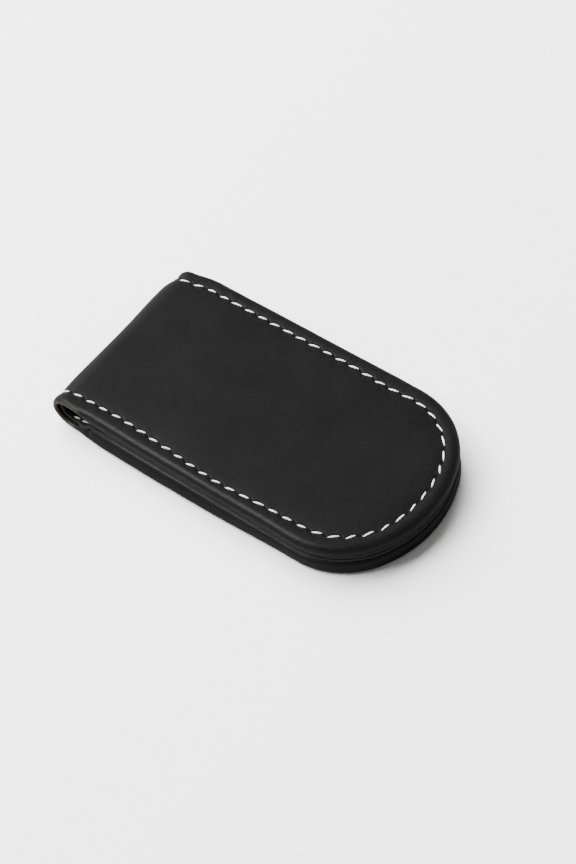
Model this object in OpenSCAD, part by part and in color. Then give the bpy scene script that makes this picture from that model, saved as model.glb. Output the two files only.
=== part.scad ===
// Folding leather money clip: a strap folded over on itself into two leaves that magnets hold shut.
// Millimetres, +Z up. The lower leaf lies on Z = 0, +X runs from the fold to the rounded tips,
// and the origin is under the middle of the closed clip.

/* [Overall size] */
// Length of the closed clip, from the outside of the fold to the tips
clip_length = 80; // [74:1:92]
// Width across the strap
clip_width = 42.5; // [40:0.5:50]
// Height of the closed clip over both leaves
clip_height = 8.3; // [8.2:0.1:9.4]
// Radius of the two wide corners beside the tip
corner_radius = 18.5; // [14:0.5:19]

/* [Leather] */
// Thickness of the outer leather
cover_leather = 0.8; // [0.6:0.05:0.9]
// Thickness of the outer leather where it is pared down and turned in under the lining
turn_in_leather = 0.4; // [0.3:0.05:0.5]
// Width of the turned-in margin, from the outside edge
turn_in_width = 6; // [5:0.5:7]
// Thickness of the lining leather
lining_leather = 0.8; // [0.6:0.05:0.9]
// How far the cut edge of the lining stays back from the outside edge
lining_inset = 0.5; // [0.3:0.1:1]
// Height of the turned edge of the lower leaf
lower_edge = 3.6; // [3.2:0.1:3.6]
// Height of the turned edge of the upper leaf
upper_edge = 2.8; // [2.4:0.1:2.8]
// Length over which a leaf thickens from the fold up to its stiffener
step_length = 4.2; // [3:0.2:5]
// Distance from the outside of the fold to the full thickness of a leaf
step_end = 10.2; // [9.6:0.2:12]

/* [Stiffeners and magnets] */
// Diameter of each magnet disc
magnet_diameter = 16; // [10:1:18]
// Distance of the outer magnet's middle from the tip
outer_magnet_from_tip = 17; // [14:0.5:18]
// Distance between the middles of the two magnets of one leaf
magnet_spacing = 26; // [20:1:32]
// Gap left around the stiffeners, magnets and sheets inside a leaf
inside_gap = 0.05; // [0.02:0.01:0.1]

/* [Seam] */
// Distance of the seam from the outside edge
seam_margin = 3.1; // [2.6:0.1:3.6]
// Distance from one stitch to the next
stitch_pitch = 3.34; // [3:0.02:4]
// Visible length of one stitch
stitch_length = 2.1; // [1.6:0.1:2.4]
// Diameter of the sewing thread
thread_diameter = 0.48; // [0.36:0.02:0.56]

/* [Fold joints] */
// Gap between the pieces of the leather where the fold is divided for bending
bend_gap = 0.1; // [0.06:0.02:0.2]

/* [Hidden] */
$fn = 48;
tiny = 0.001;
half_width = clip_width / 2;
fold_radius = clip_height / 2;
// Where the fold's half circle ends and the flat leaves begin
fold_x = -clip_length / 2 + fold_radius;
tip_x = clip_length / 2;
// Middle of each corner's quarter circle
corner_x = tip_x - corner_radius;
corner_y = half_width - corner_radius;
// Leather at the fold: a doubled edge with the lining inside it
thin_edge = cover_leather + turn_in_leather;
step_x = -clip_length / 2 + step_end;
step_start_x = step_x - step_length;
board_x = step_x + 1;
// The fold is divided at an eighth and three eighths of a turn
first_cut = 45;
last_cut = 135;
// Angle taken off each side of a cut, so that the gap is full at the lining's inner face
cut_angle = bend_gap / 2 / (fold_radius - thin_edge - lining_leather) * 180 / PI;
groove_width = thread_diameter + 0.12;
groove_depth = thread_diameter + 0.03;
seam_y = half_width - seam_margin;
corner_seam = (corner_radius - seam_margin) * PI / 2;
tip_seam = 2 * corner_y;
side_seam = corner_x - fold_x;
seam_total = 2 * side_seam + 2 * corner_seam + tip_seam;
stitch_count = round(seam_total / stitch_pitch);
leather_colour = [0.05, 0.05, 0.055];
lining_colour = [0.08, 0.08, 0.085];
thread_colour = [0.88, 0.88, 0.86];
board_colour = [0.55, 0.5, 0.42];
magnet_colour = [0.7, 0.71, 0.73];
sheet_colour = [0.8, 0.78, 0.72];

// Every leaf is drawn lying on its outer face, with the lining on top. This turns one over.
module as_upper() {
    translate([0, 0, clip_height])
        mirror([0, 0, 1])
            children();
}

// Plan shape of a leaf from one X to the tip, drawn in by an inset
module leaf_outline(inset, from_x) {
    translate([from_x, -half_width + inset])
        square([corner_x - from_x, clip_width - 2 * inset]);
    for (side = [0, 1])
        mirror([0, side])
            translate([corner_x, corner_y])
                intersection() {
                    circle(r = corner_radius - inset);
                    square(corner_radius);
                }
    translate([corner_x, -corner_y])
        square([corner_radius - inset, 2 * corner_y]);
}

// Carries a section around the leaf's rim. The section's X is the distance in from the outside
// edge, and its Y is the height.
module leaf_rim(from_x) {
    for (side = [0, 1])
        mirror([0, side, 0]) {
            translate([from_x, -half_width, 0])
                rotate([90, 0, 90])
                    linear_extrude(height = corner_x - from_x)
                        children();
            translate([corner_x, -corner_y, 0])
                rotate([0, 0, -90])
                    rotate_extrude(angle = 90)
                        translate([corner_radius, 0])
                            mirror([1, 0])
                                children();
        }
    translate([tip_x, corner_y, 0])
        mirror([1, 0, 0])
            rotate([90, 0, 0])
                linear_extrude(height = 2 * corner_y)
                    children();
}

// Bends a section around the fold between two angles, counted from the bottom of the fold.
// The section's X is the distance from the middle of the fold, and its Y runs across the strap.
module fold_bend(from_angle, to_angle) {
    translate([fold_x, 0, fold_radius])
        rotate([90, 0, 0])
            rotate([0, 0, 270 - to_angle])
                rotate_extrude(angle = to_angle - from_angle)
                    children();
}

// Half a disc that rounds off a leather edge, flat side towards the strap
module round_edge(radius) {
    intersection() {
        translate([radius, radius])
            circle(r = radius);
        square([radius, 2 * radius]);
    }
}

// Section of the turned leather edge: the outer skin, the round edge and the turned-in margin
module edge_section(edge_height) {
    outer = edge_height / 2;
    inner = (edge_height - cover_leather - turn_in_leather) / 2;
    difference() {
        union() {
            round_edge(outer);
            translate([outer, 0])
                square([turn_in_width - outer, edge_height]);
        }
        translate([cover_leather, cover_leather])
            round_edge(inner);
        translate([cover_leather + inner, cover_leather])
            square([turn_in_width, 2 * inner]);
    }
}

// Thickens a side view across the strap, from one Y to another
module across(from_y, to_y) {
    translate([0, to_y, 0])
        rotate([90, 0, 0])
            linear_extrude(height = to_y - from_y)
                children();
}

// Side view of a layer at the fold, between two depths below the outer face and two angles counted
// from the bottom of the fold
module bent_layer(low, high, from_angle, to_angle) {
    far = 2 * fold_radius;
    translate([fold_x, fold_radius])
        intersection() {
            difference() {
                circle(r = fold_radius - low);
                circle(r = fold_radius - high);
            }
            polygon(concat([[0, 0]],
                           [for (angle = [from_angle, (from_angle + to_angle) / 2, to_angle])
                               [-far * sin(angle), -far * cos(angle)]]));
        }
}

// The same layer with its flat run on from the fold into the leaf
module hooked_layer(low, high, to_angle, to_x) {
    bent_layer(low, high, 0, to_angle);
    translate([fold_x, low])
        square([to_x - fold_x, high - low]);
}

// Height of the leather along the step between the fold and the stiffener
function step_rise(t) = t <= 0 ? 0 : t >= 1 ? 1 : t * t * (3 - 2 * t);
function step_height(x, full) =
    thin_edge + (full - thin_edge) * step_rise((x - step_start_x) / step_length);
function step_slope(x, full) =
    atan((step_height(x + 0.05, full) - step_height(x - 0.05, full)) / 0.1);

// Side view of a strip that follows the step, between two distances from the turned-in leather's top
module step_strip(full, low, high, from_x) {
    steps = 14;
    xs = [for (i = [0 : steps]) from_x + (step_x - from_x) * i / steps];
    polygon(concat([for (x = xs) [x, step_height(x, full) + high]],
                   [for (i = [steps : -1 : 0]) [xs[i], step_height(xs[i], full) + low]]));
}

// Side view of the wall under the step, from the outer skin up into the turned-in leather
module step_wall(full) {
    steps = 14;
    xs = [for (i = [0 : steps]) step_start_x + step_length * i / steps];
    polygon(concat([for (x = xs) [x, step_height(x, full) - turn_in_leather / 2]],
                   [[step_x, cover_leather / 2], [step_start_x, cover_leather / 2]]));
}

// Groove that the stitches of a leaf lie in, sunk into a face between two heights
module seam_groove(low, high) {
    leaf_rim(step_x - tiny)
        translate([seam_margin - groove_width / 2, low])
            square([groove_width, high - low]);
}

// The two straight grooves through the fold and the step, cut to a side view
module side_grooves() {
    for (side = [-1, 1])
        across(side * seam_y - groove_width / 2, side * seam_y + groove_width / 2)
            children();
}

// The outer leather of one leaf, from its cut in the fold to the tip
module leaf_cover(edge_height, to_angle) {
    difference() {
        union() {
            linear_extrude(height = cover_leather)
                leaf_outline(turn_in_width, step_x);
            leaf_rim(step_x)
                edge_section(edge_height);
            across(-half_width, half_width)
                hooked_layer(0, cover_leather, to_angle, step_x);
            for (side = [0, 1])
                mirror([0, side, 0]) {
                    across(-half_width, -half_width + turn_in_width) {
                        hooked_layer(cover_leather, thin_edge, to_angle, step_start_x);
                        step_strip(edge_height, -turn_in_leather, 0, step_start_x);
                    }
                    across(-half_width, -half_width + cover_leather)
                        step_wall(edge_height);
                }
        }
        seam_groove(-1, groove_depth);
        side_grooves()
            hooked_layer(-1, groove_depth, to_angle + 5, step_x);
    }
}

// The lining of one leaf, from its cut in the fold to the tip
module leaf_lining(edge_height, to_angle) {
    high = edge_height + lining_leather;
    face = thin_edge + lining_leather;
    difference() {
        union() {
            translate([0, 0, edge_height])
                linear_extrude(height = lining_leather)
                    leaf_outline(lining_inset, step_x);
            across(-half_width + lining_inset, half_width - lining_inset) {
                bent_layer(thin_edge, face, 0, to_angle);
                step_strip(edge_height, 0, lining_leather, fold_x);
            }
        }
        seam_groove(high - groove_depth, high + 1);
        side_grooves() {
            bent_layer(face - groove_depth, face + 1, 0, to_angle + 5);
            step_strip(edge_height, lining_leather - groove_depth, lining_leather + 1, fold_x);
        }
    }
}

// The outer leather between the two cuts in the fold
module fold_cover(from_angle, to_angle) {
    difference() {
        union() {
            across(-half_width, half_width)
                bent_layer(0, cover_leather, from_angle, to_angle);
            for (side = [0, 1])
                mirror([0, side, 0])
                    across(-half_width, -half_width + turn_in_width)
                        bent_layer(cover_leather, thin_edge, from_angle, to_angle);
        }
        side_grooves()
            bent_layer(-1, groove_depth, from_angle - 5, to_angle + 5);
    }
}

// The lining between the two cuts in the fold
module fold_lining(from_angle, to_angle) {
    face = thin_edge + lining_leather;
    difference() {
        across(-half_width + lining_inset, half_width - lining_inset)
            bent_layer(thin_edge, face, from_angle, to_angle);
        side_grooves()
            bent_layer(face - groove_depth, face + 1, from_angle - 5, to_angle + 5);
    }
}

// Seam line of a leaf: place and heading of the point at one distance along it
function seam_place(s) =
    s < side_seam
        ? [fold_x + s, -seam_y, 0]
    : s < side_seam + corner_seam
        ? corner_place(-corner_y, -90 + (s - side_seam) / corner_seam * 90)
    : s < side_seam + corner_seam + tip_seam
        ? [tip_x - seam_margin, -corner_y + s - side_seam - corner_seam, 90]
    : s < side_seam + 2 * corner_seam + tip_seam
        ? corner_place(corner_y, (s - side_seam - corner_seam - tip_seam) / corner_seam * 90)
    : [fold_x + seam_total - s, seam_y, 180];
function corner_place(y, angle) =
    [corner_x + (corner_radius - seam_margin) * cos(angle),
     y + (corner_radius - seam_margin) * sin(angle), angle + 90];

module stitch() {
    rotate([0, 90, 0])
        cylinder(d = thread_diameter, h = stitch_length, center = true, $fn = 16);
}

// Stitches on the outer face of a leaf
module leaf_outer_stitches() {
    for (i = [0 : stitch_count - 1]) {
        place = seam_place(seam_total * (i + 0.5) / stitch_count);
        translate([place[0], place[1], thread_diameter / 2 + 0.01])
            rotate([0, 0, place[2]])
                stitch();
    }
}

// Stitches on the lining, which climb the step with it
module leaf_lining_stitches(edge_height) {
    for (i = [0 : stitch_count - 1]) {
        place = seam_place(seam_total * (i + 0.5) / stitch_count);
        top = step_height(place[0], edge_height) + lining_leather;
        translate([place[0], place[1], top - thread_diameter / 2 - 0.01])
            rotate([0, -step_slope(place[0], edge_height), 0])
                rotate([0, 0, place[2]])
                    stitch();
    }
}

// One stitch on each side of the fold at each angle, bent along the leather
module fold_stitches(angles, radius) {
    span = stitch_length / fold_radius * 180 / PI;
    for (angle = angles, side = [-1, 1])
        fold_bend(angle - span / 2, angle + span / 2)
            translate([radius, side * seam_y])
                circle(d = thread_diameter, $fn = 16);
}

// Heights between which the stiffener and the magnets of a leaf lie
function inner_low() = cover_leather + inside_gap;
function inner_high(edge_height) = edge_height - turn_in_leather - inside_gap;
function magnet_x(which) = tip_x - outer_magnet_from_tip - which * magnet_spacing;

module leaf_stiffener(edge_height) {
    thick = inner_high(edge_height) - inner_low();
    translate([0, 0, inner_low()])
        linear_extrude(height = thick)
            difference() {
                leaf_outline(cover_leather + thick / 2 + inside_gap, board_x);
                for (which = [0, 1])
                    translate([magnet_x(which), 0])
                        circle(d = magnet_diameter + 2 * inside_gap);
            }
}

module leaf_magnet(edge_height, which) {
    translate([magnet_x(which), 0, inner_low()])
        cylinder(d = magnet_diameter, h = inner_high(edge_height) - inner_low());
}

// Sheet that closes the space over the magnets, inside the turned-in margins
module leaf_sheet(edge_height) {
    translate([0, 0, inner_high(edge_height) + 1.5 * inside_gap])
        linear_extrude(height = turn_in_leather - 1.5 * inside_gap)
            leaf_outline(turn_in_width + 0.2, board_x);
}

module outer_cover_lower() {
    color(leather_colour)
        leaf_cover(lower_edge, first_cut - cut_angle);
}

module outer_cover_fold() {
    color(leather_colour)
        fold_cover(first_cut + cut_angle, last_cut - cut_angle);
}

module outer_cover_upper() {
    color(leather_colour)
        as_upper()
            leaf_cover(upper_edge, first_cut - cut_angle);
}

module lining_lower() {
    color(lining_colour)
        leaf_lining(lower_edge, first_cut - cut_angle);
}

module lining_fold() {
    color(lining_colour)
        fold_lining(first_cut + cut_angle, last_cut - cut_angle);
}

module lining_upper() {
    color(lining_colour)
        as_upper()
            leaf_lining(upper_edge, first_cut - cut_angle);
}

module fold_reinforcement() {
    outside = fold_radius - cover_leather - inside_gap;
    inside = fold_radius - thin_edge + inside_gap;
    color(sheet_colour)
        fold_bend(first_cut + 3, last_cut - 3)
            translate([inside, -half_width + turn_in_width + 0.2])
                square([outside - inside, clip_width - 2 * turn_in_width - 0.4]);
}

module stiffener_lower() {
    color(board_colour)
        leaf_stiffener(lower_edge);
}

module stiffener_upper() {
    color(board_colour)
        as_upper()
            leaf_stiffener(upper_edge);
}

module magnet_lower_front() {
    color(magnet_colour)
        leaf_magnet(lower_edge, 0);
}

module magnet_lower_rear() {
    color(magnet_colour)
        leaf_magnet(lower_edge, 1);
}

module magnet_upper_front() {
    color(magnet_colour)
        as_upper()
            leaf_magnet(upper_edge, 0);
}

module magnet_upper_rear() {
    color(magnet_colour)
        as_upper()
            leaf_magnet(upper_edge, 1);
}

module cover_sheet_lower() {
    color(sheet_colour)
        leaf_sheet(lower_edge);
}

module cover_sheet_upper() {
    color(sheet_colour)
        as_upper()
            leaf_sheet(upper_edge);
}

module outer_stitches_lower() {
    color(thread_colour) {
        leaf_outer_stitches();
        fold_stitches([first_cut / 2], fold_radius - thread_diameter / 2 - 0.01);
    }
}

module outer_stitches_fold() {
    color(thread_colour)
        fold_stitches([first_cut * 1.5, first_cut * 2.5], fold_radius - thread_diameter / 2 - 0.01);
}

module outer_stitches_upper() {
    color(thread_colour)
        as_upper() {
            leaf_outer_stitches();
            fold_stitches([first_cut / 2], fold_radius - thread_diameter / 2 - 0.01);
        }
}

module lining_stitches_lower() {
    color(thread_colour)
        leaf_lining_stitches(lower_edge);
}

module lining_stitches_fold() {
    radius = fold_radius - thin_edge - lining_leather + thread_diameter / 2 + 0.01;
    color(thread_colour)
        fold_stitches([first_cut * 2], radius);
}

module lining_stitches_upper() {
    color(thread_colour)
        as_upper()
            leaf_lining_stitches(upper_edge);
}

outer_cover_lower();
outer_cover_fold();
outer_cover_upper();
lining_lower();
lining_fold();
lining_upper();
fold_reinforcement();
stiffener_lower();
stiffener_upper();
magnet_lower_front();
magnet_lower_rear();
magnet_upper_front();
magnet_upper_rear();
cover_sheet_lower();
cover_sheet_upper();
outer_stitches_lower();
outer_stitches_fold();
outer_stitches_upper();
lining_stitches_lower();
lining_stitches_fold();
lining_stitches_upper();
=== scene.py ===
import math
import random

import bmesh
import bpy
from bpy.props import FloatProperty, FloatVectorProperty, PointerProperty
from mathutils import Matrix, Vector, noise


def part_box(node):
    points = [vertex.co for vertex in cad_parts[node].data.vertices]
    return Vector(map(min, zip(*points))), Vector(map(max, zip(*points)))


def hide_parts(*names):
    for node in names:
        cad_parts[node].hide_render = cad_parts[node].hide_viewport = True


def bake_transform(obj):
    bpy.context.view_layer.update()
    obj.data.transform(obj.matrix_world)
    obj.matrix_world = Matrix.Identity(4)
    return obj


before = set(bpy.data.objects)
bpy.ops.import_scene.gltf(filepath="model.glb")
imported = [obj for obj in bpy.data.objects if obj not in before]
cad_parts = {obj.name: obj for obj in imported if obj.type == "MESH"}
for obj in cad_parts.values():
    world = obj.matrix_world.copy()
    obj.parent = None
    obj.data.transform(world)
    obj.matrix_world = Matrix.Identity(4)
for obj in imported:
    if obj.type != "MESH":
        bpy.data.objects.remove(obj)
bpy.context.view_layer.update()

bl_info = {
    "name": "Leather Money Clip",
    "version": (1, 0, 0),
    "blender": (4, 5, 0),
    "location": "3D View > Sidebar > Money Clip",
    "description": "Builds the leather, linings and stitching of a folding money clip on its CAD frame",
    "category": "Object",
}

MM = 0.001

# Fixed places of the clip, read from the frame. The fold is at the -X end and the tips at the +X
# end. The near side is -Y, and the far side +Y.
UPPER_LOW, UPPER_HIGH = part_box("outer_cover_upper")
LINING_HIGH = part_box("lining_lower")[1]
HEIGHT = UPPER_HIGH.z
HALF_WIDTH = UPPER_HIGH.y
TIP_X = UPPER_HIGH.x
FOLD_RADIUS = HEIGHT / 2
FOLD_END_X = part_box("outer_cover_fold")[0].x
FOLD_X = FOLD_END_X + FOLD_RADIUS
FOLD_QUARTER = FOLD_RADIUS * math.pi / 2
LOWER_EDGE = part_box("outer_cover_lower")[1].z
UPPER_EDGE = HEIGHT - UPPER_LOW.z
LINING_THICKNESS = LINING_HIGH.z - LOWER_EDGE
LINING_INSET = HALF_WIDTH - LINING_HIGH.y
# The leaf has its full thickness from just before the stiffener on
STEP_END_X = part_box("stiffener_lower")[0].x - 1 * MM

# The outer leather and its turned-in margin, which together make the thin edge at the fold
COVER_LEATHER = 0.8 * MM
TURN_IN_LEATHER = 0.4 * MM
TURN_IN_WIDTH = 6 * MM
THIN_EDGE = COVER_LEATHER + TURN_IN_LEATHER
# Least width of the rolled edge, and the steps that the leather takes round it
LEAST_ROLL = 1.3 * MM
ROLL_STEPS = 16
# The leather follows the outline squarely this far in, then closes up towards the middle line
SQUARE_BAND = 8 * MM
# Distances in from the edge where a section has points, from the middle line to near the seam
PANEL_KNOTS = (HALF_WIDTH, 17 * MM, 13 * MM, 10 * MM, 8 * MM)
# Distances between the sections of a piece along the rim
COVER_STEP = 0.26 * MM
LINING_STEP = 0.36 * MM
TAPE_STEP = 0.5 * MM
# The tape ends just short of the flat leaf
TAPE_REACH = FOLD_QUARTER * 0.94
# Points closer than this are one
MERGE = 0.4e-6

# The edge climbs from the fold onto the stiffener in steps: share of the climb, start and length
UPPER_CLIMB = ((1.0, 2.0 * MM, STEP_END_X - FOLD_X - 1.6 * MM),)
LOWER_CLIMB = ((0.58, 0.4 * MM, 2.8 * MM), (0.42, 4.3 * MM, 1.5 * MM))
# The seam wanders in from its line, or out where this is negative: how far, and then at which
# stitch and over how many stitches
UPPER_WANDER = ((0.40 * MM, 5.4, 2.4), (-0.80 * MM, 13.0, 2.9), (0.30 * MM, 19.5, 1.6),
                (-0.28 * MM, 24.0, 1.5), (-0.25 * MM, 30.0, 1.6), (0.35 * MM, 36.5, 1.8))
LOWER_WANDER = ((-1.8 * MM, 3.1, 2.2), (0.3 * MM, 20, 5), (-0.25 * MM, 40, 4))
# The seam's distance from the edge at the middle of the fold
FOLD_MARGIN = 2.5 * MM
# Each seam's first stitch, in stitches from the middle of the fold
UPPER_FIRST = 0.21
LOWER_FIRST = 1.02

# The far side is drawn in from the middle of the fold to here, and let out again over the run
NARROW_END = FOLD_QUARTER - 0.5 * MM
NARROW_RUN = 6.8 * MM
# The fold swells by this share on its near side, and in full this far past the middle line,
# until it fades near the far edge
NEAR_SWELL = 0.36
FULL_SWELL_Y = 13 * MM
SWELL_FADE_Y = 15 * MM
SWELL_FADE_RUN = 5 * MM
# The near side of the lower leaf stands out most at its outer face, from the fold to mid-leaf
SPREAD_START = FOLD_QUARTER - 1.5 * MM
SPREAD_RUN = 11 * MM
SPREAD_END = FOLD_QUARTER + 30 * MM
SPREAD_FADE = 30 * MM

# The pleat on the near side, where the lower edge climbs onto its stiffener
PLEAT_DEPTH = 0.6 * MM
PLEAT_PLACE = FOLD_QUARTER + 5.2 * MM
PLEAT_WIDTH = 0.6 * MM
# The lining lies deeper inside the fold by this much, and out over the lower step in a lip
FOLD_SETBACK = 0.45 * MM
LINING_LIP = ((0.42 * MM, FOLD_QUARTER + 3.4 * MM, 1.2 * MM),
              (0.3 * MM, FOLD_QUARTER + 8 * MM, 3 * MM))

# The valley along the seam, on its outer and its inner side, the slanted needle holes, and the
# ripple from stitch to stitch
OUTER_SLOPE = 0.75 * MM
INNER_SLOPE = 1.15 * MM
HOLE_ANGLE = math.radians(-32)
HOLE_LENGTH = 0.40 * MM
HOLE_WIDTH = 0.24 * MM
RIPPLE = 0.022 * MM
# Sets of small differences from stitch to stitch, how far along them the lining starts, and
# the seeds that they are drawn from
QUIRKS = 80
LINING_SHIFT = 37
UPPER_SEED = 11
LOWER_SEED = 23
# Half the arc that a stitch bends through between its holes, and how its slant differs
STITCH_ARCH = math.radians(31)
SLANT_CHANGE = math.radians(3.5)

# Colours that go with the leather's own
BARE_LEATHER = (0.024, 0.0225, 0.0195, 1)
# Painted shade for the needle holes, which also stands for the thread's shadow there
NEEDLE_HOLE_SHADE = (0.0006, 0.0006, 0.0006, 1)

# The studio
FLOOR_HALF = 1.5
FLOOR_DROP = 0.1 * MM
FLOOR_IN_GLOSS = (0.17, 0.17, 0.17, 1)
STUDIO_WHITE = (1.0, 0.995, 0.99, 1)
LIGHT_FROM_WORLD = 0.32
BACKDROP_LIGHT = 3.4
# Name, place, size, power, and whether the leather mirrors it
LIGHTS = (("key_light", (-0.60, 0.12, 0.80), 1.1, 70.0, False),
          ("side_light", (-0.95, 0.05, 0.55), 0.6, 3.0, True),
          ("top_light", (-0.50, -0.42, 0.76), 0.36, 8.2, True))
CAMERA_PLACE = (0.16862, -0.15815, 0.30570)
CAMERA_TURN = (math.radians(36.721), math.radians(6.085), math.radians(38.023))
CAMERA_LENS = 79.9


class ClipSizes(bpy.types.PropertyGroup):
    corner_radius: FloatProperty(
        name="Corner radius", description="Radius of the two corners beside the tip",
        default=17.5 * MM, min=12 * MM, max=18 * MM, unit="LENGTH")
    round_end: FloatProperty(
        name="Round end", description="Length of the rounded end of a leaf",
        default=18.5 * MM, min=17.8 * MM, max=21 * MM, unit="LENGTH")
    seam_margin: FloatProperty(
        name="Seam margin", description="Distance of the stitching from the edge",
        default=3.14 * MM, min=2.4 * MM, max=4 * MM, unit="LENGTH")
    stitch_pitch: FloatProperty(
        name="Stitch pitch", description="Distance from one stitch to the next",
        default=3.343 * MM, min=2.5 * MM, max=4.5 * MM, unit="LENGTH")
    stitch_length: FloatProperty(
        name="Stitch length", description="Length of a stitch, with the ends that dip into the leather",
        default=2.45 * MM, min=1.6 * MM, max=2.9 * MM, unit="LENGTH")
    stitch_slant: FloatProperty(
        name="Stitch slant", description="Angle of a stitch to the seam line",
        default=math.radians(11), subtype="ANGLE")
    thread_diameter: FloatProperty(
        name="Thread diameter", description="Thickness of the sewing thread",
        default=0.37 * MM, min=0.3 * MM, max=0.7 * MM, unit="LENGTH")
    seam_depth: FloatProperty(
        name="Seam depth", description="How far the seam pulls the leather in",
        default=0.17 * MM, min=0, max=0.4 * MM, unit="LENGTH")
    hole_depth: FloatProperty(
        name="Needle hole depth", description="Extra depth of the dent at a needle hole",
        default=0.24 * MM, min=0, max=0.4 * MM, unit="LENGTH")
    fold_narrowing: FloatProperty(
        name="Fold narrowing", description="How much narrower the far side of the fold is",
        default=1.2 * MM, min=0, max=1.5 * MM, unit="LENGTH")
    fold_bow: FloatProperty(
        name="Fold bow", description="How far the fold swells outwards on its far half",
        default=0.78 * MM, min=0, max=1 * MM, unit="LENGTH")
    lower_spread: FloatProperty(
        name="Lower leaf spread", description="How far the lower leaf stands out on the near side",
        default=0.85 * MM, min=0, max=1.2 * MM, unit="LENGTH")


class ClipColours(bpy.types.PropertyGroup):
    leather: FloatVectorProperty(
        name="Leather", description="Colour of the outer leather", subtype="COLOR",
        size=3, min=0, max=1, default=(0.0038, 0.0038, 0.0039))
    lining: FloatVectorProperty(
        name="Lining", description="Colour of the lining leather", subtype="COLOR",
        size=3, min=0, max=1, default=(0.0096, 0.0093, 0.0090))
    thread: FloatVectorProperty(
        name="Thread", description="Colour of the stitching", subtype="COLOR",
        size=3, min=0, max=1, default=(0.82, 0.815, 0.80))
    board: FloatVectorProperty(
        name="Stiffener board", description="Colour of the pressed fibre board", subtype="COLOR",
        size=3, min=0, max=1, default=(0.26, 0.19, 0.12))
    sheet: FloatVectorProperty(
        name="Cover sheet", description="Colour of the thin card over the magnets", subtype="COLOR",
        size=3, min=0, max=1, default=(0.55, 0.51, 0.43))
    floor: FloatVectorProperty(
        name="Floor", description="Colour of the plain floor", subtype="COLOR",
        size=3, min=0, max=1, default=(0.86, 0.85, 0.85))


def rise(x, start, run):
    """0 up to the start, 1 once the run is over, and smooth between them."""
    t = max(0.0, min(1.0, (x - start) / run))
    return t * t * (3 - 2 * t)


def bump(x, middle, width):
    """1 at the middle, and nearly 0 two widths away."""
    return math.exp(-(((x - middle) / width) ** 2))


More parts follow.
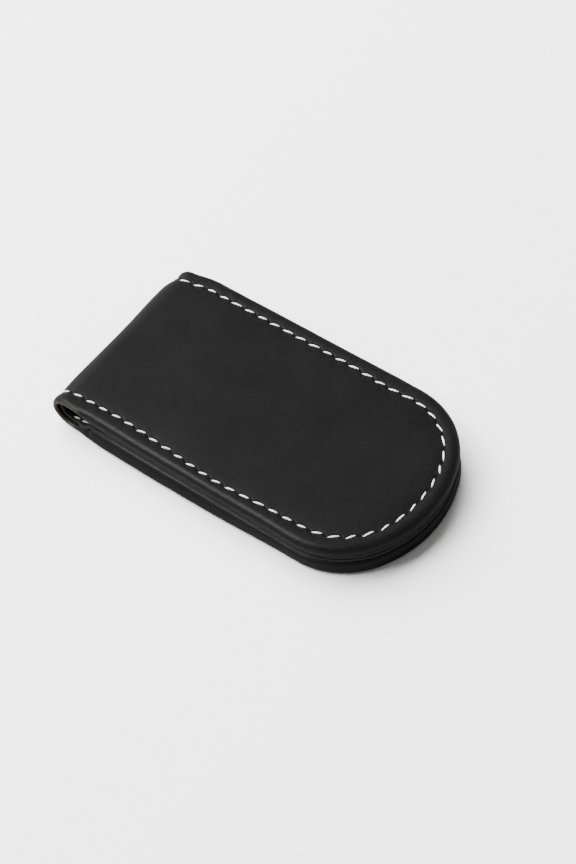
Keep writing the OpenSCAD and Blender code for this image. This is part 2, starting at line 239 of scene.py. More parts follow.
class Leaf:
    """Where the leather of one leaf lies. A point is given by its distance along the rim, near
    side first, from the middle of the fold, its distance in from the edge, and its depth below
    the outer face."""

    def __init__(self, upper):
        sizes = bpy.context.scene.clip_sizes
        self.upper = upper
        self.name = "upper" if upper else "lower"
        self.edge = UPPER_EDGE if upper else LOWER_EDGE
        self.climb = UPPER_CLIMB if upper else LOWER_CLIMB
        self.wander = UPPER_WANDER if upper else LOWER_WANDER
        self.corner_radius = sizes.corner_radius
        self.straight_x = TIP_X - sizes.round_end
        self.corner_y = HALF_WIDTH - self.corner_radius
        reach = sizes.round_end - self.corner_radius
        # The tip is a flatter arc that runs on from both corners and ends at the tip's place
        self.tip_radius = self.corner_radius + (self.corner_y ** 2 + reach ** 2) / (2 * reach)
        self.tip_centre = TIP_X - self.tip_radius
        self.corner_angle = math.atan2(self.corner_y, self.straight_x - self.tip_centre)
        self.seam_margin = sizes.seam_margin
        # Lengths along the rim. Round the corners and the tip they are taken on the seam line.
        self.straight = self.straight_x - FOLD_X
        self.corner = (self.corner_radius - self.seam_margin) * (math.pi / 2 - self.corner_angle)
        self.tip = (self.tip_radius - self.seam_margin) * 2 * self.corner_angle
        self.half = FOLD_QUARTER + self.straight + self.corner + self.tip / 2
        self.total = 2 * self.half
        self.pitch = sizes.stitch_pitch
        self.first = (UPPER_FIRST if upper else LOWER_FIRST) * self.pitch
        self.narrowing = sizes.fold_narrowing
        self.fold_bow = sizes.fold_bow
        self.lower_spread = sizes.lower_spread
        self.seam_depth = sizes.seam_depth
        self.hole_depth = sizes.hole_depth
        draw = random.Random(UPPER_SEED if upper else LOWER_SEED)
        self.quirks = [[draw.uniform(-1, 1) for _ in range(5)] for _ in range(QUIRKS)]

    def plain_nodes(self, kind):
        """Nodes of the frame that a piece of this leaf stands for. The lower leaf's piece stands
        for the fold's node too."""
        return [kind + "_" + self.name] + ([] if self.upper else [kind + "_fold"])

    def on_strap(self, along):
        """The nearest distance along the rim that is still on it."""
        return max(0, min(self.total, along))

    def from_fold(self, along):
        """Distance along the rim from the middle of the fold, on whichever side is closer."""
        return min(along, self.total - along)

    def calm(self, along):
        """0 at the middle of the fold, where the two leaves' pieces meet, then soon 1."""
        return rise(self.from_fold(along), 0, 2 * MM)

    def chance(self, x, y, upper_layer, lower_layer, scale=1):
        """A random value that changes smoothly over the leather, mostly between -0.5 and 0.5. The
        two leaves read different layers of it."""
        layer = upper_layer if self.upper else lower_layer
        return noise.noise(Vector((x, y, layer)) * scale)

    def rim(self, along):
        """Edge point, inward direction and middle-line point on the flat part. On the fold it is
        None, the fold angle and the side."""
        far = along > self.half
        q = self.total - along if far else along
        side = 1 if far else -1
        if q < FOLD_QUARTER:
            return None, math.pi / 2 - q / FOLD_RADIUS, side
        q -= FOLD_QUARTER
        if q < self.straight:
            x = FOLD_X + q
            return Vector((x, side * HALF_WIDTH)), Vector((0, -side)), Vector((x, 0))
        q -= self.straight
        if q < self.corner:
            angle = -math.pi / 2 + q / (self.corner_radius - self.seam_margin)
            centre, radius = Vector((self.straight_x, -self.corner_y)), self.corner_radius
        else:
            q -= self.corner
            angle = -self.corner_angle + q / (self.tip_radius - self.seam_margin)
            centre, radius = Vector((self.tip_centre, 0)), self.tip_radius
        out = Vector((math.cos(angle), math.sin(angle)))
        point = centre + radius * out
        if far:
            point.y, out.y = -point.y, -out.y
        return point, -out, Vector((self.straight_x, 0))

    def swell(self, y):
        """How far the fold swells out, across the strap: a little on the near side, most on the
        far half, and not at all at the far edge."""
        share = NEAR_SWELL + (1 - NEAR_SWELL) * rise(y, 0, FULL_SWELL_Y)
        return self.fold_bow * share * (1 - rise(y, SWELL_FADE_Y, SWELL_FADE_RUN))

    def place(self, along, inward, depth):
        """The point of the leather in the frame's own coordinates."""
        rim, direction, middle = self.rim(along)
        if rim is None:
            angle, side = direction, middle
            radius = FOLD_RADIUS - depth
            y = side * (HALF_WIDTH - inward)
            point = Vector((FOLD_X - (radius + self.swell(y)) * math.sin(angle), y,
                            FOLD_RADIUS - radius * math.cos(angle)))
        else:
            if inward <= SQUARE_BAND:
                flat = rim + direction * inward
            else:
                t = (inward - SQUARE_BAND) / (HALF_WIDTH - SQUARE_BAND)
                flat = (rim + direction * SQUARE_BAND).lerp(middle, t)
            point = Vector((flat.x, flat.y, depth))
        if along > self.half:
            held = 1 - rise(self.total - along, NARROW_END, NARROW_RUN)
            point.y *= 1 - self.narrowing / HALF_WIDTH * held
        elif not self.upper:
            grown = rise(along, SPREAD_START, SPREAD_RUN) * (1 - rise(along, SPREAD_END, SPREAD_FADE))
            low = 1 - rise(depth, COVER_LEATHER, self.edge - COVER_LEATHER)
            point.y *= 1 + self.lower_spread / HALF_WIDTH * grown * low
        if self.upper:
            point.z = HEIGHT - point.z
        return point

    def edge_height(self, along):
        """Height of the turned edge: thin at the fold, thick over the stiffener."""
        past_fold = self.from_fold(along) - FOLD_QUARTER
        climbed = sum(share * rise(past_fold, start, run) for share, start, run in self.climb)
        return THIN_EDGE + (self.edge - THIN_EDGE) * climbed

    def edge_power(self, along, edge, inner):
        """How round the outer or inner half of the turned edge is: 1 is a quarter circle, and a
        lower value is squarer."""
        if self.upper:
            past_step = rise(along, FOLD_QUARTER + 12 * MM, 20 * MM)
            return 0.45 + 0.30 * past_step if inner else 1.0
        thick = rise(edge, THIN_EDGE, self.edge - THIN_EDGE)
        return 0.5 + 0.12 * thick if inner else 1 - 0.38 * thick

    def margin(self, along):
        """Distance of the seam from the edge, which wanders a little as hand-guided sewing does."""
        margin = self.seam_margin
        for shift, stitch, spread in self.wander:
            margin += shift * bump(along, stitch * self.pitch, spread * self.pitch)
        on_leaf = rise(self.from_fold(along), 0, 2.2 * self.pitch)
        return FOLD_MARGIN * (1 - on_leaf) + margin * on_leaf

    def pleat(self, along):
        """Depth of the pleat where the lower edge climbs onto its stiffener."""
        return 0 if self.upper else PLEAT_DEPTH * bump(along, PLEAT_PLACE, PLEAT_WIDTH)

    def lining_inset(self, along):
        """Distance of the lining's cut edge from the leaf's edge."""
        inset = LINING_INSET + FOLD_SETBACK * (1 - rise(self.from_fold(along), 7.2 * MM, 2.2 * MM))
        if not self.upper:
            for out, place, width in LINING_LIP:
                inset -= out * bump(along, place, width)
        return inset

    def rim_shift(self, along, inward):
        """Slight unevenness of the turned edge, fading out towards the seam."""
        point = self.place(self.on_strap(along), 0, 0)
        wave = 0.14 * MM * self.chance(point.x, point.y, 0.31, 0.77, 70)
        fine = 0.035 * MM * self.chance(point.x, point.y, 0.11, 0.57, 260)
        return self.calm(along) * (wave + fine) * (1 - rise(inward, 0, 4 * MM))

    def raw_edge(self, along, inward, depth):
        """1 on the bare edge of the leather at the sides of the fold, less on the lining's cut
        edge, and 0 elsewhere."""
        edge = self.edge_height(along)
        if depth > edge + 0.02 * MM:
            return 0.3 * (1 - rise(inward, self.lining_inset(along) + 0.1 * MM, 0.1 * MM))
        thin = 1 - rise(edge, THIN_EDGE, 0.8 * MM)
        below = rise(depth, 0.15 * MM, 0.35 * MM)
        return thin * below * (1 - rise(inward, 0.25 * MM, 0.4 * MM))

    def seam_relief(self, along, inward, hole_share=1.0):
        """How far the leather is pulled in, and how much of a needle hole lies here: a shallow
        valley along the seam, and a slanted dent at each needle hole."""
        off = inward - self.margin(along)
        relief = self.seam_depth * bump(off, 0, OUTER_SLOPE if off < 0 else INNER_SLOPE)
        hole = 0.0
        if abs(off) < 2.2 * MM:
            phase = (along - self.first) / self.pitch
            index = math.floor(phase)
            quirk = self.quirks[index % QUIRKS]
            a = (phase - index - 0.5) * self.pitch + 0.08 * MM * quirk[0]
            b = off + 0.06 * MM * quirk[1]
            c, s = math.cos(HOLE_ANGLE), math.sin(HOLE_ANGLE)
            hole = bump(a * c + b * s, 0, HOLE_LENGTH) * bump(b * c - a * s, 0, HOLE_WIDTH)
            hole *= 1 + 0.2 * quirk[2]
            relief += self.hole_depth * hole * hole_share
            ripple = math.cos(2 * math.pi * phase) * bump(off, 0, 1.2 * MM)
            relief += RIPPLE * ripple * self.calm(along)
        return relief, hole

    def outer_relief(self, along, inward, edge):
        """Depth of the outer face below its plain height, and needle hole: seam, full rolled edge
        with small creases, cross pleats beside the fold, and the upper leaf's soft panel."""
        relief, hole = self.seam_relief(along, inward)
        margin = self.margin(along)
        relief -= 0.05 * MM * bump(inward, edge / 2 + 0.25 * MM, 0.75 * MM)
        crease = 0.026 * MM * self.chance(along * 620, inward * 170, 0.4, 0.8)
        fine = 0.014 * MM * self.chance(along * 1450, inward * 800, 0.25, 0.45)
        beside_fold = bump(self.from_fold(along), FOLD_QUARTER + 0.6 * MM, 2.0 * MM)
        pleats = 0.08 * MM * self.chance(along * 1150, inward * 90, 0.15, 0.55) * beside_fold
        rolled = (1 - rise(inward, margin - 1.2 * MM, 1.2 * MM)) * self.calm(along)
        relief += (crease + fine + pleats) * rolled
        if self.upper:
            panel = rise(inward, margin + 0.5 * MM, 4.5 * MM)
            flat = self.place(self.on_strap(along), inward, 0)
            where = Vector((flat.x, flat.y, 0.2))
            uneven = 0.012 * MM * noise.noise(where * 95) + 0.004 * MM * noise.noise(where * 300)
            relief += (uneven - 0.14 * MM) * panel
        return relief, hole


def both_leaves():
    """The upper leaf first, as every operator builds them."""
    return Leaf(upper=True), Leaf(upper=False)


def spaced(start, end, steps):
    """Even steps from the start, without the end."""
    return [start + (end - start) * k / steps for k in range(steps)]


def seam_knots(margin, end):
    """Distances in from the edge where a section has points: closest together at the seam."""
    near = max(margin - 1.0 * MM, end + 0.1 * MM)
    return (spaced(6.5 * MM, margin + 1.3 * MM, 6) + spaced(margin + 1.3 * MM, near, 15)
            + spaced(near, end, 4) + [end])


def cover_section(leaf, along):
    """Section of the outer leather as (inward, depth, hole) points: from the middle line out over
    the outer face, round the edge, in under the turned margin, and back inside to the middle."""
    edge = leaf.edge_height(along)
    r = edge / 2
    roll = max(r, LEAST_ROLL)
    points = [(inward, leaf.outer_relief(along, inward, edge)[0], 0.0) for inward in PANEL_KNOTS]
    for inward in seam_knots(leaf.margin(along), roll):
        relief, hole = leaf.outer_relief(along, inward, edge)
        points.append((inward - leaf.rim_shift(along, inward), relief, hole))
    for k in range(1, ROLL_STEPS):
        turn = math.pi * k / ROLL_STEPS
        power = leaf.edge_power(along, edge, k > ROLL_STEPS / 2)
        inward = roll - roll * math.sin(turn) ** power
        depth = r - r * math.copysign(abs(math.cos(turn)) ** power, math.cos(turn))
        relief = leaf.outer_relief(along, inward, edge)[0] * max(0, math.cos(turn))
        full = (0.05 * MM - leaf.pleat(along) * rise(turn, 1.3, 0.9)) * math.sin(turn)
        points.append((inward - full - leaf.rim_shift(along, inward), depth + relief, 0.0))
    for inward in (roll, 2.4 * MM, 3.6 * MM, 4.8 * MM, TURN_IN_WIDTH):
        points.append((max(roll, inward), edge, 0.0))
    room = (edge - COVER_LEATHER - TURN_IN_LEATHER) / 2
    middle = COVER_LEATHER + room
    gap = max(room, 0.04 * MM)
    inside = min(COVER_LEATHER, r - 0.1 * MM)
    points.append((TURN_IN_WIDTH, middle + gap, 0.0))
    points.append((4 * MM, middle + gap, 0.0))
    for k in range(5):
        turn = math.pi * k / 4
        points.append((inside + gap - gap * math.sin(turn), middle + gap * math.cos(turn), 0.0))
    for inward in (4 * MM, 8 * MM, 13 * MM, HALF_WIDTH):
        points.append((inward, middle - gap, 0.0))
    return points


def lining_section(leaf, along):
    """Section of the lining: its face from the middle line out, the cut edge, and its back."""
    edge = leaf.edge_height(along)
    back = edge + 0.015 * MM
    face = edge + LINING_THICKNESS
    points = [(inward, face, 0.0) for inward in PANEL_KNOTS]
    inset = leaf.lining_inset(along)
    in_loop = leaf.calm(along) * (1 - rise(leaf.from_fold(along), 5 * MM, 5 * MM))
    for inward in seam_knots(leaf.margin(along), inset + 0.12 * MM):
        relief, hole = leaf.seam_relief(along, inward, 0.8)
        crumple = 0.13 * MM * leaf.chance(along * 800, inward * 520, 0.35, 0.65) * in_loop
        points.append((inward, face - relief * 0.7 - crumple, hole))
    uneven = 0.06 * MM * leaf.chance(along * 400, 0.4, 0.9, 0.1) * leaf.calm(along)
    for drop, rounding in ((0.06, 0.05 * MM), (0.3, 0), (0.62, 0), (0.94, 0.05 * MM)):
        points.append((inset + uneven + rounding, face - drop * LINING_THICKNESS, 0.0))
    for inward in (1.9 * MM, 4 * MM, 8 * MM, 13 * MM, HALF_WIDTH):
        points.append((inward, back, 0.0))
    return points


def tape_section(leaf, along):
    """Section of the reinforcing tape between the two leathers at the fold, the same all along."""
    edge = TURN_IN_WIDTH + 0.25 * MM
    low, high = COVER_LEATHER + 0.05 * MM, THIN_EDGE - 0.03 * MM
    return [(HALF_WIDTH, low, 0.0), (13 * MM, low, 0.0), (edge, low, 0.0),
            (edge, high, 0.0), (13 * MM, high, 0.0), (HALF_WIDTH, high, 0.0)]


def laid_leather(name, leaf, section, step, reach=None):
    """Flat blanks of leather, laid so that their rows follow the rim and their columns the
    section: one all the way round the rim, or, with a reach, one from the middle of the fold on
    each side. The ends at the middle of the fold are closed."""
    total = leaf.total
    mesh = bmesh.new()
    holes = mesh.verts.layers.float.new("needle_hole")
    raw = mesh.verts.layers.float.new("raw_edge")
    across = len(section(leaf, 0.0)) - 1
    if reach is None:
        runs = [spaced(0, total, round(total / step)) + [total]]
    else:
        count = max(2, round(reach / step))
        runs = [spaced(0, reach, count) + [reach],
                spaced(total, total - reach, count) + [total - reach]]
    for stations in runs:
        rows = len(stations) - 1
        blank = bmesh.ops.create_grid(mesh, x_segments=rows, y_segments=across, size=1)
        sections = [section(leaf, along) for along in stations]
        for vert in blank["verts"]:
            i = round((vert.co.x + 1) / 2 * rows)
            j = round((vert.co.y + 1) / 2 * across)
            inward, depth, vert[holes] = sections[i][j]
            vert[raw] = leaf.raw_edge(stations[i], inward, depth)
            vert.co = leaf.place(stations[i], inward, depth)
    bmesh.ops.remove_doubles(mesh, verts=mesh.verts, dist=MERGE)
    open_edges = [e for e in mesh.edges if e.is_boundary]
    bmesh.ops.holes_fill(mesh, edges=open_edges, sides=0)
    caps = [f for f in mesh.faces if len(f.verts) > 4]
    caps = set(bmesh.ops.triangulate(mesh, faces=caps)["faces"])
    bmesh.ops.recalc_face_normals(mesh, faces=mesh.faces)
    return finished(name, mesh, flat=caps)


def finished(name, mesh, flat=()):
    """The piece made of this mesh, with all faces smooth but the flat ones."""
    data = bpy.data.meshes.new(name)
    for face in mesh.faces:
        face.smooth = face not in flat
    mesh.to_mesh(data)
    mesh.free()
    piece = bpy.data.objects.new(name, data)
    bpy.context.scene.collection.objects.link(piece)
    return piece


def bend_with_fold(piece, leaf):
    """Bakes the piece's placement into its mesh, the same for either leaf."""
    if leaf.upper:
        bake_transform(piece)
    else:
        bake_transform(piece)


def in_fixed_order(mesh):
    """The mesh made again with its points and faces in order of place, because the operators may
    leave them in another order each time."""
    def rounded(place):
        return tuple(round(c / MM, 4) for c in place)

    ordered = bmesh.new()
    points = {v: ordered.verts.new(v.co) for v in sorted(mesh.verts, key=lambda v: rounded(v.co))}
    for face in sorted(mesh.faces, key=lambda f: rounded(f.calc_center_median())):
        ordered.faces.new([points[v] for v in face.verts])
    mesh.free()
    return ordered


def stitch_pattern(sizes):
    """One stitch, arched over the leather and dipping into its holes at both ends. X runs along the
    seam, Y across it, and Z down into the leather."""
    mesh = bmesh.new()
    bow = sizes.stitch_length / 2 / math.sin(STITCH_ARCH)
    radius = sizes.thread_diameter / 2
    ring = bmesh.ops.create_circle(mesh, cap_ends=True, segments=8, radius=radius)["verts"]
    bmesh.ops.rotate(mesh, verts=ring, cent=(0, 0, 0), matrix=Matrix.Rotation(math.pi / 2, 3, "Y"))
    bmesh.ops.rotate(mesh, verts=ring, cent=(0, 0, bow), matrix=Matrix.Rotation(STITCH_ARCH, 3, "Y"))
    bmesh.ops.spin(mesh, geom=mesh.faces[:] + mesh.edges[:] + mesh.verts[:], cent=(0, 0, bow),
                   axis=(0, 1, 0), angle=-2 * STITCH_ARCH, steps=8, use_duplicate=False)
    bmesh.ops.remove_doubles(mesh, verts=mesh.verts, dist=1e-7)
    bmesh.ops.recalc_face_normals(mesh, faces=mesh.faces)
    return in_fixed_order(mesh)


def sewn_thread(name, leaf, lining):
    """The visible stitches of one thread round one leaf. The "twist" map holds the place along a
    stitch in millimetres, and the turn round the thread."""
    sizes = bpy.context.scene.clip_sizes
    mesh = stitch_pattern(sizes)
    pattern = mesh.verts[:] + mesh.edges[:] + mesh.faces[:]
    coords = {v: v.co.copy() for v in mesh.verts}
    count = int((leaf.total - leaf.first) / leaf.pitch) + 1
    radius = sizes.thread_diameter / 2
    sink = radius - (0.06 * MM if leaf.upper and not lining else -0.02 * MM)
    twist = mesh.loops.layers.uv.new("twist")
    for face in mesh.faces:
        for loop in face.loops:
            co = loop.vert.co
            loop[twist].uv = (co.x / MM, math.atan2(co.y, co.z - 0.2 * MM) / (2 * math.pi))
    copies = []
    for _ in range(count):
        made = bmesh.ops.duplicate(mesh, geom=pattern)["vert_map"]
        copies.append([(new, coords[old]) for old, new in made.items() if old in coords])
    for k, verts in enumerate(copies):
        quirk = leaf.quirks[(k + LINING_SHIFT * lining) % QUIRKS]
        slant = math.tan(sizes.stitch_slant + SLANT_CHANGE * quirk[3])
        middle = leaf.first + k * leaf.pitch + 0.05 * MM * quirk[4]
        margin = leaf.margin(middle) + 0.04 * MM * quirk[1]
        stretch = 1 + 0.11 * quirk[0]
        for vert, co in verts:
            taper = math.sqrt(max(0.12, 1 - 0.95 * (2 * co.x / sizes.stitch_length) ** 2))
            along = middle + co.x * stretch
            inward = margin + co.x * slant + co.y * taper
            if lining:
                face = leaf.edge_height(leaf.on_strap(along)) + LINING_THICKNESS
                depth = face - co.z - sink * 0.55
            else:
                depth = co.z + sink
            vert.co = leaf.place(along, inward, depth)
    bmesh.ops.delete(mesh, geom=list(coords), context="VERTS")
    bmesh.ops.recalc_face_normals(mesh, faces=mesh.faces)
    return finished(name, mesh)


# Materials


def fill(tree, node, values):
    """Sets a node's inputs by name or number. An output is linked, and anything else is a value."""
    for label, value in values.items():
        if isinstance(value, bpy.types.NodeSocket):
            tree.links.new(value, node.inputs[label])
        else:
            node.inputs[label].default_value = value
    return node


def new_node(tree, kind, values, **settings):
    """A new node with its settings made and its inputs filled."""
    node = tree.nodes.new(kind)
    for label, choice in settings.items():
        setattr(node, label, choice)
    return fill(tree, node, values)


def math_node(tree, operation, *values, clamp=False):
    """The result of a sum on outputs and plain numbers."""
    values = dict(enumerate(values))
    return new_node(tree, "ShaderNodeMath", values, operation=operation, use_clamp=clamp).outputs[0]


def noise_node(tree, vector, scale, **values):
    """The outputs of a noise texture, with its other inputs given by name."""
    labels = {label.capitalize(): value for label, value in values.items()}
    return new_node(tree, "ShaderNodeTexNoise", {"Vector": vector, "Scale": scale, **labels}).outputs


def mix_colour(tree, factor, a, b, blend_type="MIX"):
    values = {"Factor": factor, "A": a, "B": b}
    node = new_node(tree, "ShaderNodeMix", values, data_type="RGBA", blend_type=blend_type)
    return node.outputs["Result"]


def stretched(tree, scale, turn=0.0):
    """Object coordinates, stretched along the axes and turned about Z."""
    values = {"Vector": object_vector(tree), "Scale": scale, "Rotation": (0, 0, turn)}
    return new_node(tree, "ShaderNodeMapping", values).outputs["Vector"]


def bump_normal(tree, height, distance):
    return new_node(tree, "ShaderNodeBump", {"Height": height, "Distance": distance}).outputs["Normal"]


def painted_mask(tree, name):
    """A value from 0 to 1 that was set point by point when the leather was laid."""
    return new_node(tree, "ShaderNodeAttribute", {}, attribute_name=name).outputs["Fac"]


def object_vector(tree):
    return tree.nodes.new("ShaderNodeTexCoord").outputs["Object"]


def ramp(tree, source, stops):
    """Colours laid out from the lowest stop to the highest."""
    node = new_node(tree, "ShaderNodeValToRGB", {"Fac": source})
    node.color_ramp.elements[0].position, node.color_ramp.elements[0].color = stops[0]
    node.color_ramp.elements[1].position, node.color_ramp.elements[1].color = stops[-1]
    for place, colour in stops[1:-1]:
        node.color_ramp.elements.new(place).color = colour
    return node.outputs["Color"]


def shade(colour, factor):
    """The colour made darker or lighter, with full alpha."""
    return tuple(min(1.0, c * factor) for c in colour) + (1.0,)


def new_material(name):
    material = bpy.data.materials.new(name)
    material.use_nodes = True
    tree = material.node_tree
    return material, tree, tree.nodes["Principled BSDF"]


def grain_group():
    """Fine leather grain: small pebbles parted by creases, with pores. Puts out a height, a painted
    shade that is darker in the creases and lighter on the pebble tops, and a broad unevenness. The
    pebble size is in millimetres."""
    if "Leather grain" in bpy.data.node_groups:
        return bpy.data.node_groups["Leather grain"]
    group = bpy.data.node_groups.new("Leather grain", "ShaderNodeTree")
    group.interface.new_socket("Vector", in_out="INPUT", socket_type="NodeSocketVector")
    for label, value in (("Pebble size", 0.45), ("Softness", 0.5)):
        socket = group.interface.new_socket(label, in_out="INPUT", socket_type="NodeSocketFloat")
        socket.default_value = value
    for label in ("Height", "Crease shade", "Uneven"):
        group.interface.new_socket(label, in_out="OUTPUT", socket_type="NodeSocketFloat")
    source = group.nodes.new("NodeGroupInput").outputs
    vector = source["Vector"]
    scale = math_node(group, "DIVIDE", 1000.0, source["Pebble size"])
    bend = noise_node(group, vector, 900, detail=3)["Color"]
    push = new_node(group, "ShaderNodeVectorMath", {0: bend, "Scale": 0.35 * MM}, operation="SCALE")
    moved = new_node(group, "ShaderNodeVectorMath", {0: vector, 1: push.outputs[0]}, operation="ADD")
    pebbles = new_node(group, "ShaderNodeTexVoronoi", {}, feature="SMOOTH_F1")
    fill(group, pebbles, {"Vector": moved.outputs[0], "Scale": scale, "Smoothness": source["Softness"]})
    fine = noise_node(group, vector, math_node(group, "MULTIPLY", scale, 2.6), detail=5, roughness=0.62)
    tops = math_node(group, "SUBTRACT", 1.0, pebbles.outputs["Distance"])
    height = math_node(group, "ADD", math_node(group, "MULTIPLY", tops, 0.7),
                       math_node(group, "MULTIPLY", fine["Fac"], 0.5))
    # Painted shade taken from the height: darker in the creases, lighter on the pebble tops
    result = {"Height": height, "Crease shade": math_node(group, "SUBTRACT", height, 0.25, clamp=True),
              "Uneven": noise_node(group, vector, 110, detail=4)["Fac"]}
    new_node(group, "NodeGroupOutput", result)
    return group


def leather_material(name, colour, pebble, softness, bump_height, rough_low, rough_high):
    """Leather with its grain and soft clouding, with painted shade in the grain's creases, bare where
    it is cut, and dull in the needle holes, which painted shade darkens."""
    material, tree, shader = new_material(name)
    values = {"Vector": object_vector(tree), "Pebble size": pebble, "Softness": softness}
    grain = new_node(tree, "ShaderNodeGroup", values, node_tree=grain_group()).outputs
    # Painted shade: the leather's colour darkened in the grain's creases and lightened on its tops
    tone = ramp(tree, grain["Crease shade"], [(0.15, shade(colour, 0.62)), (0.75, shade(colour, 1.18))])
    cloud = ramp(tree, grain["Uneven"], [(0.3, (0.86, 0.86, 0.86, 1)), (0.7, (1.12, 1.12, 1.12, 1))])
    clouded = mix_colour(tree, 1.0, tone, cloud, "MULTIPLY")
    edged = mix_colour(tree, painted_mask(tree, "raw_edge"), clouded, BARE_LEATHER)
    hole = painted_mask(tree, "needle_hole")
    # Painted shade darkens the needle holes, in place of the shade and the thread's shadow in them
    painted_hole_shade = math_node(tree, "MULTIPLY", hole, 0.85, clamp=True)
    rough = new_node(tree, "ShaderNodeMapRange",
                     {"Value": grain["Uneven"], "From Min": 0.3, "From Max": 0.7,
                      "To Min": rough_low, "To Max": rough_high}).outputs["Result"]
    fill(tree, shader, {"Base Color": mix_colour(tree, painted_hole_shade, edged, NEEDLE_HOLE_SHADE),
                        "Roughness": math_node(tree, "MULTIPLY_ADD", hole, 0.45, rough, clamp=True),
                        "Normal": bump_normal(tree, grain["Height"], bump_height),
                        "Specular IOR Level": 0.24})
    return material


def thread_material(colour):
    """Twisted thread: pale strands that wind round it, with painted shade in the grooves between them
    and random fibre tone.
    """
    material, tree, shader = new_material("Sewing thread")
    place = new_node(tree, "ShaderNodeUVMap", {}, uv_map="twist").outputs["UV"]
    split = new_node(tree, "ShaderNodeSeparateXYZ", {0: place}).outputs
    wind = math_node(tree, "ADD", math_node(tree, "MULTIPLY", split["X"], 1.5),
                     math_node(tree, "MULTIPLY", split["Y"], 2.0))
    wave = math_node(tree, "SINE", math_node(tree, "MULTIPLY", wind, 2 * math.pi))
    strands = math_node(tree, "MULTIPLY_ADD", wave, 0.5, 0.5)
    fibre = noise_node(tree, object_vector(tree), 9000, detail=3)["Fac"]
    height = math_node(tree, "ADD", strands, math_node(tree, "MULTIPLY", fibre, 0.5))
    # Painted shade in the grooves between the strands, with random fibre tone mixed in
    tone = ramp(tree, height, [(0.2, shade(colour, 0.62)), (0.8, shade(colour, 1.05))])
    fill(tree, shader, {"Base Color": tone, "Normal": bump_normal(tree, height, 0.05 * MM),
                        "Roughness": 0.62})
    return material


def fibre_material(name, colour, scale, stretch, bump_height):
    """Pressed fibre, card or woven tape: fibres that run mostly one way, with flecks."""
    material, tree, shader = new_material(name)
    fibres = noise_node(tree, stretched(tree, stretch), scale, detail=6, distortion=0.8)["Fac"]
    tone = ramp(tree, fibres,
                [(0.3, shade(colour, 0.6)), (0.5, shade(colour, 0.95)), (0.72, shade(colour, 1.3))])
    fill(tree, shader, {"Base Color": tone, "Normal": bump_normal(tree, fibres, bump_height),
                        "Roughness": 0.85})
    return material


def nickel_material():
    """Nickel plate with fine scratches and faint clouding."""
    material, tree, shader = new_material("Nickel plate")
    cloud = noise_node(tree, object_vector(tree), 260, detail=5)["Fac"]
    tone = ramp(tree, cloud, [(0.3, (0.50, 0.49, 0.47, 1)), (0.7, (0.66, 0.65, 0.62, 1))])
    scratch = noise_node(tree, stretched(tree, (1, 14, 1), turn=0.5), 900)["Fac"]
    rough = new_node(tree, "ShaderNodeMapRange", {"Value": scratch, "To Min": 0.22, "To Max": 0.42})
    fill(tree, shader, {"Base Color": tone, "Roughness": rough.outputs["Result"], "Metallic": 1.0})
    return material


def floor_material(colour):
    """A plain pale floor. The leather mirrors it only faintly, so that its sides stay dark."""
    material, tree, shader = new_material("Pale floor")
    cloud = noise_node(tree, object_vector(tree), 6)["Fac"]
    tone = ramp(tree, cloud, [(0.3, shade(colour, 0.985)), (0.7, shade(colour, 1.015))])
    in_gloss = tree.nodes.new("ShaderNodeLightPath").outputs["Is Glossy Ray"]
    fill(tree, shader, {"Base Color": mix_colour(tree, in_gloss, tone, FLOOR_IN_GLOSS),
                        "Roughness": 0.8, "Specular IOR Level": 0.2})
    return material


def give(piece, material):
    piece.data.materials.clear()
    piece.data.materials.append(material)


def fit(piece, leaf, material, nodes):
    """Gives a finished piece its material, bakes its placement into its mesh, and hides the nodes of
    the frame that it stands for."""
    give(piece, material)
    bend_with_fold(piece, leaf)
    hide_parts(*nodes)


def finish_node(node, material):
    """Gives a piece of the frame its finish, on the slots it already has."""
    if not node.material_slots:
        node.data.materials.append(material)
    for slot in node.material_slots:
        slot.material = material


class CLIP_OT_outer_leather(bpy.types.Operator):
    """Lay the outer leather of both leaves, from the middle of the fold to the tips"""

    bl_idname = "money_clip.outer_leather"
    bl_label = "Outer leather"

    def execute(self, context):
        material = leather_material("Smooth black leather", context.scene.clip_colours.leather,
                                    pebble=0.42, softness=0.55, bump_height=0.028 * MM,
                                    rough_low=0.43, rough_high=0.47)
        for leaf in both_leaves():
            piece = laid_leather("outer_leather_" + leaf.name, leaf, cover_section, COVER_STEP)
            fit(piece, leaf, material, leaf.plain_nodes("outer_cover"))
        return {"FINISHED"}


class CLIP_OT_lining(bpy.types.Operator):
    """Lay the lining leather inside both leaves, with its cut edge"""

    bl_idname = "money_clip.lining"
    bl_label = "Lining"

    def execute(self, context):
        material = leather_material("Matt black lining", context.scene.clip_colours.lining,
                                    pebble=0.55, softness=0.8, bump_height=0.03 * MM,
                                    rough_low=0.52, rough_high=0.64)
        for leaf in both_leaves():
            piece = laid_leather("lining_leather_" + leaf.name, leaf, lining_section, LINING_STEP)
            fit(piece, leaf, material, leaf.plain_nodes("lining"))
        return {"FINISHED"}


class CLIP_OT_stitching(bpy.types.Operator):
    """Sew both threads: the outer one and the one on the lining"""

    bl_idname = "money_clip.stitching"
    bl_label = "Stitching"

    def execute(self, context):
        material = thread_material(context.scene.clip_colours.thread)
        for leaf in both_leaves():
            for layer in ("outer", "lining"):
                piece = sewn_thread(layer + "_thread_" + leaf.name, leaf, layer == "lining")
                fit(piece, leaf, material, leaf.plain_nodes(layer + "_stitches"))
        return {"FINISHED"}


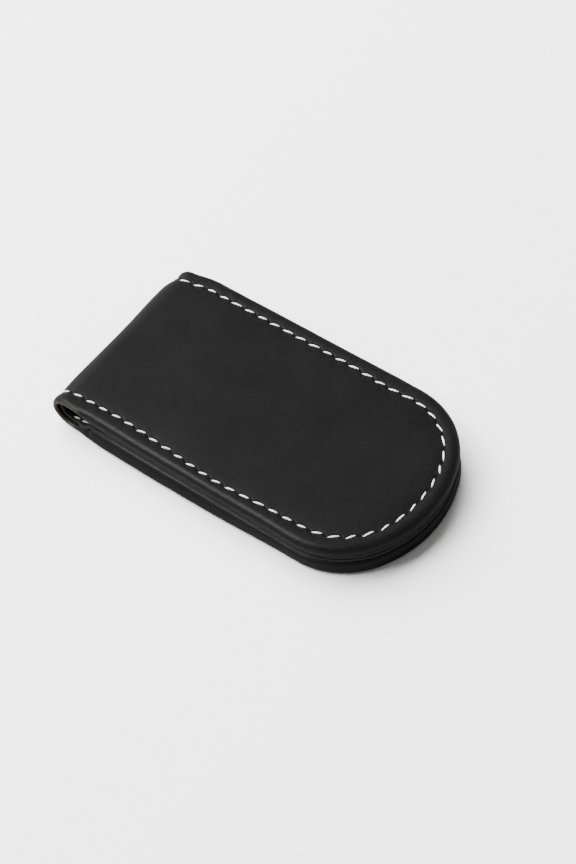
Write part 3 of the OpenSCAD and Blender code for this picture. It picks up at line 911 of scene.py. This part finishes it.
class CLIP_OT_inner_parts(bpy.types.Operator):
    """Finish the hidden parts: stiffeners, magnets, cover sheets and the tape at the fold"""

    bl_idname = "money_clip.inner_parts"
    bl_label = "Inner parts"

    def execute(self, context):
        colours = context.scene.clip_colours
        board = fibre_material("Pressed fibre board", colours.board, 1400, (1, 1, 3), 0.03 * MM)
        card = fibre_material("Thin card", colours.sheet, 2200, (1, 0.4, 1), 0.01 * MM)
        tape = fibre_material("Woven tape", colours.sheet, 2600, (0.2, 1, 1), 0.02 * MM)
        finishes = {"stiffener": board, "magnet": nickel_material(), "cover_sheet": card}
        for name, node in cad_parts.items():
            for kind, material in finishes.items():
                if name.startswith(kind):
                    finish_node(node, material)
        for leaf in both_leaves():
            piece = laid_leather("fold_tape_" + leaf.name, leaf, tape_section, TAPE_STEP,
                                 reach=TAPE_REACH)
            fit(piece, leaf, tape, ["fold_reinforcement"])
        return {"FINISHED"}


def lay_floor(scene):
    mesh = bmesh.new()
    bmesh.ops.create_grid(mesh, x_segments=4, y_segments=4, size=FLOOR_HALF)
    bmesh.ops.translate(mesh, verts=mesh.verts, vec=(0, 0, -FLOOR_DROP))
    floor = finished("floor", mesh)
    give(floor, floor_material(scene.clip_colours.floor))


def light_studio(scene):
    """A soft white world with a brighter backdrop for the camera, and the lights, which all point
    at the clip."""
    world = bpy.data.worlds.new("Studio")
    world.use_nodes = True
    tree = world.node_tree
    soft = fill(tree, tree.nodes["Background"],
                {"Color": STUDIO_WHITE, "Strength": LIGHT_FROM_WORLD})
    backdrop = new_node(tree, "ShaderNodeBackground",
                        {"Color": STUDIO_WHITE, "Strength": BACKDROP_LIGHT})
    to_camera = tree.nodes.new("ShaderNodeLightPath").outputs["Is Camera Ray"]
    chosen = new_node(tree, "ShaderNodeMixShader",
                      {0: to_camera, 1: soft.outputs[0], 2: backdrop.outputs[0]})
    fill(tree, tree.nodes["World Output"], {"Surface": chosen.outputs[0]})
    scene.world = world
    for name, place, size, power, seen_in_gloss in LIGHTS:
        lamp = bpy.data.lights.new(name, "AREA")
        lamp.size = size
        lamp.energy = power
        light = bpy.data.objects.new(name, lamp)
        light.location = place
        light.visible_glossy = seen_in_gloss
        light.rotation_euler = (-Vector(place)).to_track_quat("-Z", "Y").to_euler()
        scene.collection.objects.link(light)


def set_camera(scene):
    camera_data = bpy.data.cameras.new("camera")
    camera_data.sensor_width = 36
    camera_data.lens = CAMERA_LENS
    camera_data.clip_start = 0.01
    camera = bpy.data.objects.new("camera", camera_data)
    camera.location = CAMERA_PLACE
    camera.rotation_euler = CAMERA_TURN
    scene.collection.objects.link(camera)
    bpy.context.scene.camera = camera


class CLIP_OT_stage(bpy.types.Operator):
    """Set the pale floor, the soft studio light and the camera"""

    bl_idname = "money_clip.stage"
    bl_label = "Stage"

    def execute(self, context):
        lay_floor(context.scene)
        light_studio(context.scene)
        set_camera(context.scene)
        return {"FINISHED"}


class CLIP_PT_panel(bpy.types.Panel):
    """Sizes, colours and build steps of the money clip"""

    bl_idname = "CLIP_PT_panel"
    bl_label = "Money Clip"
    bl_space_type = "VIEW_3D"
    bl_region_type = "UI"
    bl_category = "Money Clip"

    def draw(self, context):
        layout = self.layout
        for group in (context.scene.clip_sizes, context.scene.clip_colours):
            box = layout.box()
            for name in group.__annotations__:
                box.prop(group, name)
        for operator in OPERATORS:
            layout.operator(operator.bl_idname)


OPERATORS = (CLIP_OT_outer_leather, CLIP_OT_lining, CLIP_OT_stitching, CLIP_OT_inner_parts,
             CLIP_OT_stage)
CLASSES = (ClipSizes, ClipColours) + OPERATORS + (CLIP_PT_panel,)


def register():
    for cls in CLASSES:
        bpy.utils.register_class(cls)
    bpy.types.Scene.clip_sizes = PointerProperty(type=ClipSizes)
    bpy.types.Scene.clip_colours = PointerProperty(type=ClipColours)


def unregister():
    del bpy.types.Scene.clip_colours
    del bpy.types.Scene.clip_sizes
    for cls in reversed(CLASSES):
        bpy.utils.unregister_class(cls)


def main():
    register()
    bpy.ops.money_clip.outer_leather()
    bpy.ops.money_clip.lining()
    bpy.ops.money_clip.stitching()
    bpy.ops.money_clip.inner_parts()
    bpy.ops.money_clip.stage()


if __name__ == "__main__":
    main()
